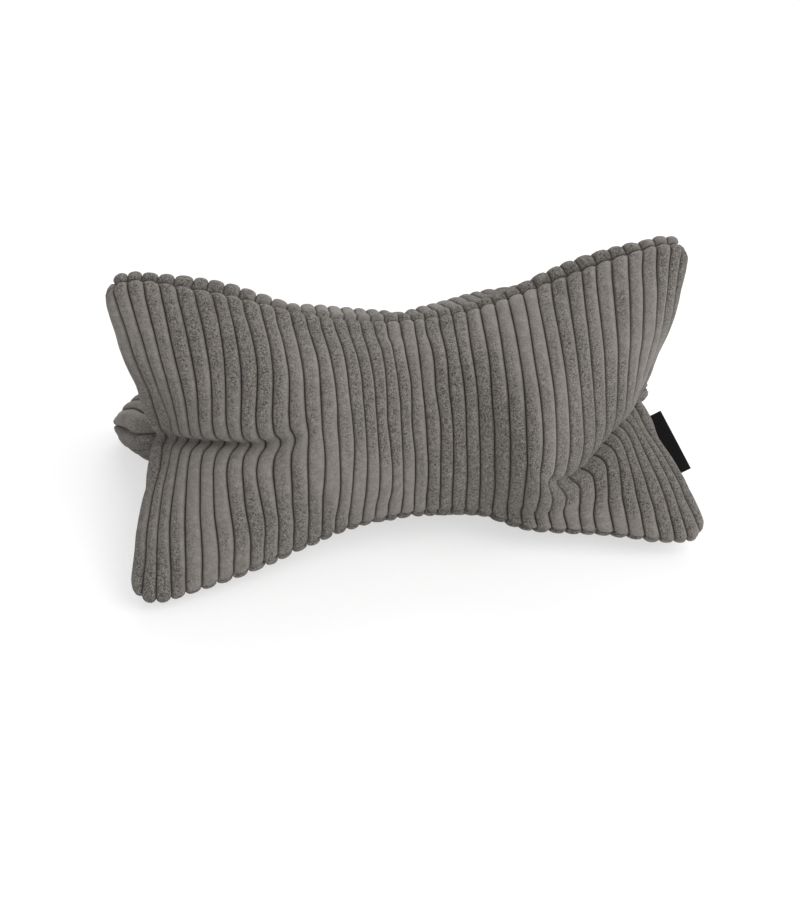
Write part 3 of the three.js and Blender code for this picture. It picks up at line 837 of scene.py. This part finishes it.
def corduroy_material(look):
    """Brushed pile on the cords, rough in patches with painted shade in its pits and painted highlight on
    its tips, and dark ground in the grooves, partly painted shade, which also darkens the cloth along the
    seams.
    """
    material = bpy.data.materials.new("corduroy")
    material.use_nodes = True
    material.node_tree.nodes.clear()
    t = Tree(material.node_tree)
    flat = t.add("ShaderNodeUVMap", uv_map="cloth").outputs[0]
    flat = t.add("ShaderNodeMapping", {"Vector": flat, "Scale": (FLAT_SIZE,) * 3}).outputs[0]
    place = t.add("ShaderNodeTexCoord").outputs["Object"]
    sunk = t.add("ShaderNodeAttribute", attribute_name="sunk").outputs["Fac"]
    across = t.add("ShaderNodeAttribute", attribute_name="across").outputs["Fac"]

    shifted = {"Vector": flat, "Location": PATCH_SHIFT, "Scale": PATCH_STRETCH}
    stretched = t.add("ShaderNodeMapping", shifted).outputs[0]
    patches = t.add("ShaderNodeTexNoise", {"Vector": stretched, "Scale": PATCH_SCALE, "Detail": 2.5})
    side = t.maths("MULTIPLY", t.ease(across, *SIDE), SIDE_LESS)
    rough = t.ease(t.maths("SUBTRACT", patches.outputs[0], side), *RUFFLED)
    pile = t.add(
        "ShaderNodeTexNoise",
        {"Vector": place, "Scale": PILE_SCALE, "Detail": 1.0, "Roughness": 0.55, "Distortion": 1.3},
    )
    fuzz = t.add("ShaderNodeTexNoise", {"Vector": place, "Scale": FUZZ_SCALE, "Detail": 1.0})
    streaks = t.add("ShaderNodeTexNoise", {"Vector": flat, "Scale": STREAK_SCALE, "Detail": 2.0})
    ruffled = t.ease(rough, 0, 1, BRUSHED_SHARE, 1.0)
    # Painted shade in the pile's hollows and painted highlight on its tips, where its bump is low and high
    pit_shade = t.maths("MULTIPLY", t.ease(pile.outputs[0], *PIT_SHADE), ruffled)
    tips = t.maths("MULTIPLY", t.ease(pile.outputs[0], *TIP_HIGHLIGHT), ruffled)
    streaked = t.ease(streaks.outputs[0], *STREAKS, 0.0, STREAKS_SHOW)

    colour = t.blend(rough, srgb(look.brushed_colour), srgb(look.rough_colour))
    colour = t.blend(streaked, colour, srgb(look.streak_and_tip_highlight_colour))
    colour = t.blend(t.maths("MULTIPLY", tips, TIP_HIGHLIGHT_SHOW), colour, srgb(look.streak_and_tip_highlight_colour))
    colour = t.blend(t.maths("MULTIPLY", pit_shade, PIT_SHADE_SHOW), colour, srgb(look.pit_shade_colour))
    # The ground's colour in the grooves, deepened as painted shade there and along the seams
    colour = t.blend(t.ease(sunk, *GROUND_AND_SHADE), colour, srgb(look.ground_and_shade_colour))

    height = t.maths("MULTIPLY", pile.outputs[0], ruffled)
    height = t.maths("ADD", height, t.maths("MULTIPLY", fuzz.outputs[0], FUZZ_SHARE))
    bump = t.add("ShaderNodeBump", {"Strength": 1.0, "Distance": PILE_DEPTH, "Height": height})
    shader = t.add(
        "ShaderNodeBsdfPrincipled",
        {
            "Base Color": colour,
            "Roughness": 0.95,
            "Specular IOR Level": 0.15,
            "Sheen Weight": 0.25,
            "Sheen Roughness": 0.45,
            "Sheen Tint": (0.8, 0.78, 0.75, 1.0),
            "Normal": bump.outputs[0],
        },
    )
    t.add("ShaderNodeOutputMaterial", {"Surface": shader.outputs[0]})
    material.diffuse_color = srgb(look.rough_colour)
    return material


def tape_material(look):
    """A tightly woven satin tape."""
    material = bpy.data.materials.new("label_tape")
    material.use_nodes = True
    material.node_tree.nodes.clear()
    t = Tree(material.node_tree)
    flat = t.add("ShaderNodeUVMap", uv_map="tape").outputs[0]
    flat = t.add("ShaderNodeMapping", {"Vector": flat, "Scale": (TAPE_SCALE,) * 3}).outputs[0]
    waves = {"Vector": flat, "Scale": 560.0, "Distortion": 0.4, "Detail": 1.0, "Detail Scale": 2.0}
    warp = t.add("ShaderNodeTexWave", waves, bands_direction="X").outputs["Fac"]
    weft = t.add("ShaderNodeTexWave", {**waves, "Scale": 420.0}, bands_direction="Y").outputs["Fac"]
    weave = t.maths("ADD", t.maths("MULTIPLY", warp, 0.6), t.maths("MULTIPLY", weft, 0.4))
    dust = t.add("ShaderNodeTexNoise", {"Vector": flat, "Scale": 300.0, "Detail": 3.0}).outputs[0]
    light = t.ease(t.maths("MULTIPLY", weave, dust), 0.15, 0.5)
    colour = t.blend(light, srgb(look.tape_colour), srgb(look.tape_thread_colour))
    bump = t.add("ShaderNodeBump", {"Strength": 0.5, "Distance": 0.00015, "Height": weave})
    shader = t.add(
        "ShaderNodeBsdfPrincipled",
        {"Base Color": colour, "Roughness": 0.7, "Specular IOR Level": 0.12, "Normal": bump.outputs[0]},
    )
    t.add("ShaderNodeOutputMaterial", {"Surface": shader.outputs[0]})
    material.diffuse_color = srgb(look.tape_colour)
    return material


def floor_material(look):
    """A pale floor that shows white where nothing shades it."""
    material = bpy.data.materials.new("floor")
    material.use_nodes = True
    material.node_tree.nodes.clear()
    t = Tree(material.node_tree)
    path = t.add("ShaderNodeLightPath").outputs
    seen = t.maths("MAXIMUM", path["Is Camera Ray"], path["Is Glossy Ray"])
    seen = t.maths("MAXIMUM", seen, path["Is Transmission Ray"])
    colour = t.blend(seen, srgb(look.floor_colour), srgb(look.floor_seen))
    matt = t.add("ShaderNodeBsdfDiffuse", {"Color": colour})
    glow = t.add("ShaderNodeEmission", {"Strength": t.maths("MULTIPLY", seen, look.floor_glow)})
    both = t.add("ShaderNodeAddShader", {0: matt.outputs[0], 1: glow.outputs[0]})
    t.add("ShaderNodeOutputMaterial", {"Surface": both.outputs[0]})
    return material


# ---------------------------------------------------------------- the label


def tape_section(width, root, thick, gap):
    """The folded tape's outline across itself, as (out of the seam, over its middle plane)."""
    inner = gap / 2
    outer = inner + thick
    turn = np.linspace(-np.pi / 2, np.pi / 2, FOLD_STEPS + 1)
    outside = np.stack((width - outer + outer * np.cos(turn), outer * np.sin(turn)), axis=1)
    inside = np.stack((width - outer + inner * np.cos(turn), inner * np.sin(turn)), axis=1)[::-1]
    flat = np.linspace(-root, width - outer, FLAT_STEPS, endpoint=False)
    lower = np.stack((flat, np.full(len(flat), -outer)), axis=1)
    upper = np.stack((flat[::-1], np.full(len(flat), outer)), axis=1)
    inner_upper = np.stack((flat, np.full(len(flat), inner)), axis=1)
    inner_lower = np.stack((flat[::-1], np.full(len(flat), -inner)), axis=1)
    return np.concatenate((lower, outside, upper, inner_upper, inside, inner_lower))


def tape_frame(node):
    """A CAD label's middle, its directions along, out of the seam and off its face, and its length."""
    co = np.unique(np.round(read_points(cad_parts[node].data), 6), axis=0)
    middle = co.mean(axis=0)
    _, _, ways = np.linalg.svd(co - middle)
    along, out, _ = ways
    out = out if out[0] > 0 else -out
    along = along if along[2] < 0 else -along
    spread = (co - middle) @ np.stack((along, out), axis=1)
    middle = middle + along * (spread[:, 0].max() + spread[:, 0].min()) / 2 + out * spread[:, 1].max()
    return middle, along, out, np.cross(along, out), np.ptp(spread[:, 0])


# ---------------------------------------------------------------- settings


class CutSettings(bpy.types.PropertyGroup):
    """The flat panel, seam to seam, and the finished size."""

    length: FloatProperty(name="Length", description="Over the lobe tips", default=0.42, unit="LENGTH")
    tip_span: FloatProperty(
        name="Tip span", description="From one lobe tip to the next", default=0.225, unit="LENGTH"
    )
    cords: IntProperty(name="Cords", description="Cords of the corduroy across a panel", default=41)
    cord_pitch: FloatProperty(
        name="Cord pitch", description="From one groove to the next", default=0.0101, unit="LENGTH"
    )
    waist_width: FloatProperty(
        name="Waist width", description="In the panel's middle", default=0.158, unit="LENGTH"
    )
    end_width: FloatProperty(
        name="End width", description="Before the rounded corners", default=0.276, unit="LENGTH"
    )
    corner_width: FloatProperty(
        name="End edge", description="Straight part of the end edge", default=0.226, unit="LENGTH"
    )
    corner_cords: IntProperty(name="Corner cords", description="Length of the corner's rounding", default=3)
    waist_ease: FloatProperty(name="Waist ease", description="Higher keeps the waist short", default=1.5)
    end_bulge: FloatProperty(
        name="End bulge", description="Swell of the end edge over a lobe", default=0.008, unit="LENGTH"
    )
    end_peak: FloatProperty(
        name="End peak", description="How far its middle stands out", default=0.002, unit="LENGTH"
    )
    axis_height: FloatProperty(
        name="Axis height", description="Of the axis over the floor", default=0.077, unit="LENGTH"
    )


class ClothSettings(bpy.types.PropertyGroup):
    """How the cloth settles between its seams."""

    frames: IntProperty(name="Frames", description="Length of the simulation", default=24)
    puff: FloatProperty(name="Puff", description="Pressure of the stuffing", default=1.2)
    ease: FloatProperty(name="Ease", description="Spare cloth between the seams", default=0.014)
    stiff_tip: FloatProperty(
        name="Stiff tip", description="From a lobe's tip, stiff with seams", default=0.016, unit="LENGTH"
    )
    most_move: FloatProperty(
        name="Most move", description="That a point may make", default=0.006, unit="LENGTH"
    )


class SlumpSettings(bpy.types.PropertyGroup):
    """How the filled pillow slumps on its front lobe."""

    drop_right: FloatProperty(
        name="Right drop", description="Turn of the right fold", default=math.radians(42), subtype="ANGLE"
    )
    drop_back: FloatProperty(
        name="Drop back", description="Less of it at the notch", default=math.radians(11.5), subtype="ANGLE"
    )
    drop_left: FloatProperty(
        name="Left drop", description="Turn of the left fold", default=math.radians(8), subtype="ANGLE"
    )
    fold_core: FloatProperty(
        name="Fold core", description="Whole inside this", default=0.085, unit="LENGTH"
    )
    fold_reach: FloatProperty(name="Fold reach", description="Gone here", default=0.13, unit="LENGTH")
    fold_rise: FloatProperty(
        name="Fold rise", description="By which the right fold is shallower", default=0.021, unit="LENGTH"
    )
    push_right: FloatProperty(
        name="Right push", description="Of the right notch, outwards", default=0.0145, unit="LENGTH"
    )
    push_left: FloatProperty(
        name="Left push", description="Of the left fold, outwards", default=0.012, unit="LENGTH"
    )
    notch_back: FloatProperty(name="Notch back", description="Share less at a notch", default=0.2)
    gather: FloatProperty(
        name="Gather", description="Of the middle cords, inwards", default=0.0055, unit="LENGTH"
    )
    blunt: FloatProperty(
        name="Blunt", description="Of the back lobe's ends, outwards", default=0.016, unit="LENGTH"
    )
    tip_lift: FloatProperty(
        name="Tip lift", description="Of the right front tip", default=math.radians(3), subtype="ANGLE"
    )
    crown: FloatProperty(
        name="Crown", description="Of the upper lobes' backs", default=0.0055, unit="LENGTH"
    )


class CordSettings(bpy.types.PropertyGroup):
    """The corduroy's cords, its seams and its colours."""

    groove_depth: FloatProperty(
        name="Groove depth", description="Between two cords", default=0.0034, unit="LENGTH"
    )
    flatness: FloatProperty(name="Flatness", description="Of a cord's top", default=2.4)
    seam_depth: FloatProperty(
        name="Seam depth", description="Below the cords' tops", default=0.0045, unit="LENGTH"
    )
    seam_round: FloatProperty(
        name="Seam round", description="Length over which a cord ends", default=0.006, unit="LENGTH"
    )
    end_round: FloatProperty(
        name="End round", description="Width over which the last cord ends", default=0.0035, unit="LENGTH"
    )
    seam_puff: FloatProperty(
        name="Seam puff", description="Of the cloth beside a long seam", default=0.0025, unit="LENGTH"
    )
    end_puff: FloatProperty(
        name="End puff", description="Of the cloth beside an end seam", default=0.003, unit="LENGTH"
    )
    unevenness: FloatProperty(
        name="Unevenness", description="Of the cords' height", default=0.0006, unit="LENGTH"
    )
    wander: FloatProperty(
        name="Wander", description="Of a groove to either side", default=0.0004, unit="LENGTH"
    )
    seed: IntProperty(name="Seed", description="Of the uneven cords", default=4)
    brushed_colour: FloatVectorProperty(
        name="Brushed", description="Smoothly brushed pile", default=(0.49, 0.472, 0.455), subtype="COLOR"
    )
    rough_colour: FloatVectorProperty(
        name="Rough", description="Ruffled pile", default=(0.44, 0.423, 0.405), subtype="COLOR"
    )
    # Lighter streaks along the cords, and painted highlight on the pile's tips
    streak_and_tip_highlight_colour: FloatVectorProperty(
        name="Fuzz", description="Tips of the pile", default=(0.6, 0.58, 0.555), subtype="COLOR"
    )
    # Painted shade in the pile's gaps, where its bump is low
    pit_shade_colour: FloatVectorProperty(
        name="Pits", description="Gaps in the pile", default=(0.2, 0.19, 0.18), subtype="COLOR"
    )
    # The ground between the cords, darker as painted shade in the grooves and along the seams
    ground_and_shade_colour: FloatVectorProperty(
        name="Groove", description="Ground between the cords", default=(0.26, 0.245, 0.235), subtype="COLOR"
    )


class LabelSettings(bpy.types.PropertyGroup):
    """The folded tape in the right end seam."""

    width: FloatProperty(name="Width", description="That shows", default=0.011, unit="LENGTH")
    root: FloatProperty(name="Root", description="Inside the seam", default=0.008, unit="LENGTH")
    thick: FloatProperty(name="Thickness", description="Of one layer", default=0.0006, unit="LENGTH")
    gap: FloatProperty(name="Gap", description="Between the layers", default=0.0003, unit="LENGTH")
    bow: FloatProperty(name="Bow", description="Of the free edge", default=0.0006, unit="LENGTH")
    tape_colour: FloatVectorProperty(
        name="Tape", description="Its ground", default=(0.035, 0.035, 0.04), subtype="COLOR"
    )
    tape_thread_colour: FloatVectorProperty(
        name="Thread", description="Its raised threads", default=(0.075, 0.075, 0.085), subtype="COLOR"
    )


class StageSettings(bpy.types.PropertyGroup):
    """Floor, light and camera."""

    floor_colour: FloatVectorProperty(
        name="Floor", description="Of the floor", default=(0.93, 0.93, 0.93), subtype="COLOR"
    )
    floor_seen: FloatVectorProperty(
        name="Floor seen", description="Under its glow", default=(0.68, 0.68, 0.68), subtype="COLOR"
    )
    floor_glow: FloatProperty(name="Floor glow", description="Only as it is seen", default=0.6)
    azimuth: FloatProperty(
        name="Azimuth", description="0 looks along +Y", default=math.radians(-13.6), subtype="ANGLE"
    )
    elevation: FloatProperty(
        name="Elevation", description="Above the horizon", default=math.radians(35.6), subtype="ANGLE"
    )
    roll: FloatProperty(
        name="Roll", description="Of the camera", default=math.radians(2.7), subtype="ANGLE"
    )
    distance: FloatProperty(name="Distance", description="To its aim", default=1.14, unit="LENGTH")
    lens: FloatProperty(name="Lens", description="Focal length", default=60.05)
    aim: FloatVectorProperty(
        name="Aim", description="Point in the picture's middle", default=(-0.0034, -0.0172, 0.0491)
    )


SETTINGS = {
    "pillow_cut": CutSettings,
    "pillow_cloth": ClothSettings,
    "pillow_slump": SlumpSettings,
    "pillow_cords": CordSettings,
    "pillow_label": LabelSettings,
    "pillow_stage": StageSettings,
}


# ---------------------------------------------------------------- operators


class NECKPILLOW_OT_cover(bpy.types.Operator):
    """Cut, sew, fill and settle the corduroy cover, and press its cords and seams"""

    bl_idname = "neckpillow.cover"
    bl_label = "Corduroy cover"

    def execute(self, context):
        scene = context.scene
        cut = scene.pillow_cut
        look = scene.pillow_cords
        points, numbers = fill(cut)
        points, numbers = finer(points, numbers, *even_places(cut.cords, ROWS, CLOTH_FINER))
        points = settle(points, numbers, scene.pillow_cloth)
        hold_planes(points, *planes(numbers))
        points[:, 2] = np.maximum(points[:, 2], -cut.axis_height)
        axis_height = to_size(points, cut)
        slump(points, scene.pillow_slump)
        crown(points, numbers, cut.cords, scene.pillow_slump)
        points[:, 2] = np.maximum(points[:, 2] + axis_height, 0)

        columns, rows, across, side_gap, end_gap = fine_places(cut)
        times = (numbers.shape[2] - 1) / cut.cords
        points, numbers = finer(points, numbers, columns * times, rows * times)
        points[:, 2] = np.maximum(points[:, 2], 0)
        points = wander(points, numbers, cut.cords, look.wander, look.seed)
        smooth_cover = mesh_object("smooth_cover", points, quads(numbers))
        for name, grid in (("across", across), ("side_gap", side_gap), ("end_gap", end_gap)):
            values = np.zeros(len(points))
            for panel, half in np.ndindex(PANELS, 2):
                values[numbers[panel, half]] = grid
            store(smooth_cover.data, name, values)
        store(smooth_cover.data, "way_out", ways_out(points, numbers, side_gap, end_gap), "FLOAT_VECTOR")
        lay_flat(smooth_cover.data, numbers, cut, columns, rows)
        given = {name: float(getattr(look, name.lower().replace(" ", "_"))) for name in CORD_INPUTS}
        given["Material"] = corduroy_material(look)
        cover = grow(smooth_cover, cord_tree(), given, "corduroy_cover")
        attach(cover, "root")
        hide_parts("pillow")
        return {"FINISHED"}


class NECKPILLOW_OT_label(bpy.types.Operator):
    """Fold the label's tape and set it in the end seam"""

    bl_idname = "neckpillow.label"
    bl_label = "Side label"

    def execute(self, context):
        look = context.scene.pillow_label
        edge, along, out, face, length = tape_frame("side_label")
        section = tape_section(look.width, look.root, look.thick, look.gap)
        size = len(section)
        places = np.linspace(-0.5, 0.5, TAPE_STEPS + 1)
        reach = section[:, 0] - look.width
        lift = section[:, 1]
        free = np.clip(section[:, 0] / look.width, 0, 1) ** 2
        points = []
        for place in places:
            bow = look.bow * free * (1 - 4 * place**2)
            middle = edge + along * length * place
            points.append(middle + out * reach[:, None] + face * (lift + bow)[:, None])
        points = np.concatenate(points)
        ring = np.arange(size)
        step = np.arange(TAPE_STEPS)[:, None] * size
        after = (ring + 1) % size
        corners = (step + ring, step + size + ring, step + size + after, step + after)
        sides = np.stack(corners, -1).reshape(-1, 4)
        half = size // 2
        pairs = [(n, n + 1, size - 2 - n, size - 1 - n) for n in range(half - 1)]
        caps = np.array(pairs)
        faces = np.concatenate((sides, caps[:, ::-1], caps + TAPE_STEPS * size))
        label = mesh_object("label_tape", points, faces)
        around = np.concatenate(((0,), np.cumsum(np.hypot(*np.diff(section, axis=0).T))))
        flat = np.stack((np.repeat(places * length, size), np.tile(around, TAPE_STEPS + 1)), 1) / TAPE_SCALE
        layer = label.data.uv_layers.new(name="tape")
        loops = np.zeros(len(label.data.loops), int)
        label.data.loops.foreach_get("vertex_index", loops)
        layer.data.foreach_set("uv", (flat[loops] + 0.5).astype("f").ravel())
        label.data.materials.append(tape_material(look))
        label.data.set_sharp_from_angle(angle=math.radians(TAPE_SHARP))
        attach(label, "root")
        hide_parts("side_label")
        return {"FINISHED"}


class NECKPILLOW_OT_stage(bpy.types.Operator):
    """Lay the floor, light it softly and place the camera"""

    bl_idname = "neckpillow.stage"
    bl_label = "Floor, light and camera"

    def execute(self, context):
        scene = context.scene
        look = scene.pillow_stage
        corners = np.array(((-1, -1, 0), (1, -1, 0), (1, 1, 0), (-1, 1, 0))) * FLOOR_HALF
        floor = mesh_object("floor", corners, np.array(((0, 1, 2, 3),)))
        floor.data.materials.append(floor_material(look))
        for name, (place, size, power) in LAMPS.items():
            lamp = bpy.data.objects.new(name, bpy.data.lights.new(name, "AREA"))
            lamp.data.size = size
            lamp.data.energy = power
            lamp.location = place
            lamp.rotation_mode = "QUATERNION"
            lamp.rotation_quaternion = (LAMP_AIM - lamp.location).to_track_quat("-Z", "Y")
            context.collection.objects.link(lamp)
        self.world(scene)
        self.camera(context, look)
        scene.view_settings.view_transform = "Standard"
        return {"FINISHED"}

    @staticmethod
    def world(scene):
        """White where it is seen, and a soft light from all round."""
        scene.world = scene.world or bpy.data.worlds.new("studio")
        scene.world.use_nodes = True
        scene.world.node_tree.nodes.clear()
        t = Tree(scene.world.node_tree)
        path = t.add("ShaderNodeLightPath").outputs
        seen = t.maths("MAXIMUM", path["Is Camera Ray"], path["Is Glossy Ray"])
        seen = t.maths("MAXIMUM", seen, path["Is Transmission Ray"])
        strength = t.ease(seen, 0.0, 1.0, AMBIENT, 1.0)
        light = t.add("ShaderNodeBackground", {"Color": (1.0, 1.0, 1.0, 1.0), "Strength": strength})
        t.add("ShaderNodeOutputWorld", {"Surface": light.outputs[0]})

    @staticmethod
    def camera(context, look):
        """Looks at the pillow from a little to its left and above."""
        camera = bpy.data.objects.new("camera", bpy.data.cameras.new("camera"))
        camera.data.lens = look.lens
        a, e = look.azimuth, look.elevation
        back = Vector((math.sin(a) * math.cos(e), -math.cos(a) * math.cos(e), math.sin(e)))
        camera.location = Vector(look.aim) + back * look.distance
        camera.rotation_mode = "QUATERNION"
        level = (-back).to_track_quat("-Z", "Y")
        camera.rotation_quaternion = level @ Matrix.Rotation(look.roll, 3, "Z").to_quaternion()
        context.collection.objects.link(camera)
        context.scene.camera = camera


OPERATORS = (NECKPILLOW_OT_stage, NECKPILLOW_OT_cover, NECKPILLOW_OT_label)


class NECKPILLOW_PT_panel(bpy.types.Panel):
    """The neck pillow's sizes and steps"""

    bl_label = "Neck pillow"
    bl_idname = "NECKPILLOW_PT_panel"
    bl_space_type = "VIEW_3D"
    bl_region_type = "UI"
    bl_category = "Neck pillow"

    def draw(self, context):
        for operator in OPERATORS:
            self.layout.operator(operator.bl_idname)
        for name, group in SETTINGS.items():
            box = self.layout.box()
            for key in group.__annotations__:
                box.prop(getattr(context.scene, name), key)


CLASSES = (*SETTINGS.values(), *OPERATORS, NECKPILLOW_PT_panel)


def register():
    """Registers the classes and hangs the settings on the scene."""
    for one in CLASSES:
        bpy.utils.register_class(one)
    for name, group in SETTINGS.items():
        setattr(bpy.types.Scene, name, PointerProperty(type=group))


def unregister():
    """Takes them away again."""
    for name in SETTINGS:
        delattr(bpy.types.Scene, name)
    for one in reversed(CLASSES):
        bpy.utils.unregister_class(one)


def main():
    """Makes every piece."""
    register()
    bpy.ops.neckpillow.stage()
    bpy.ops.neckpillow.cover()
    bpy.ops.neckpillow.label()


if __name__ == "__main__":
    main()
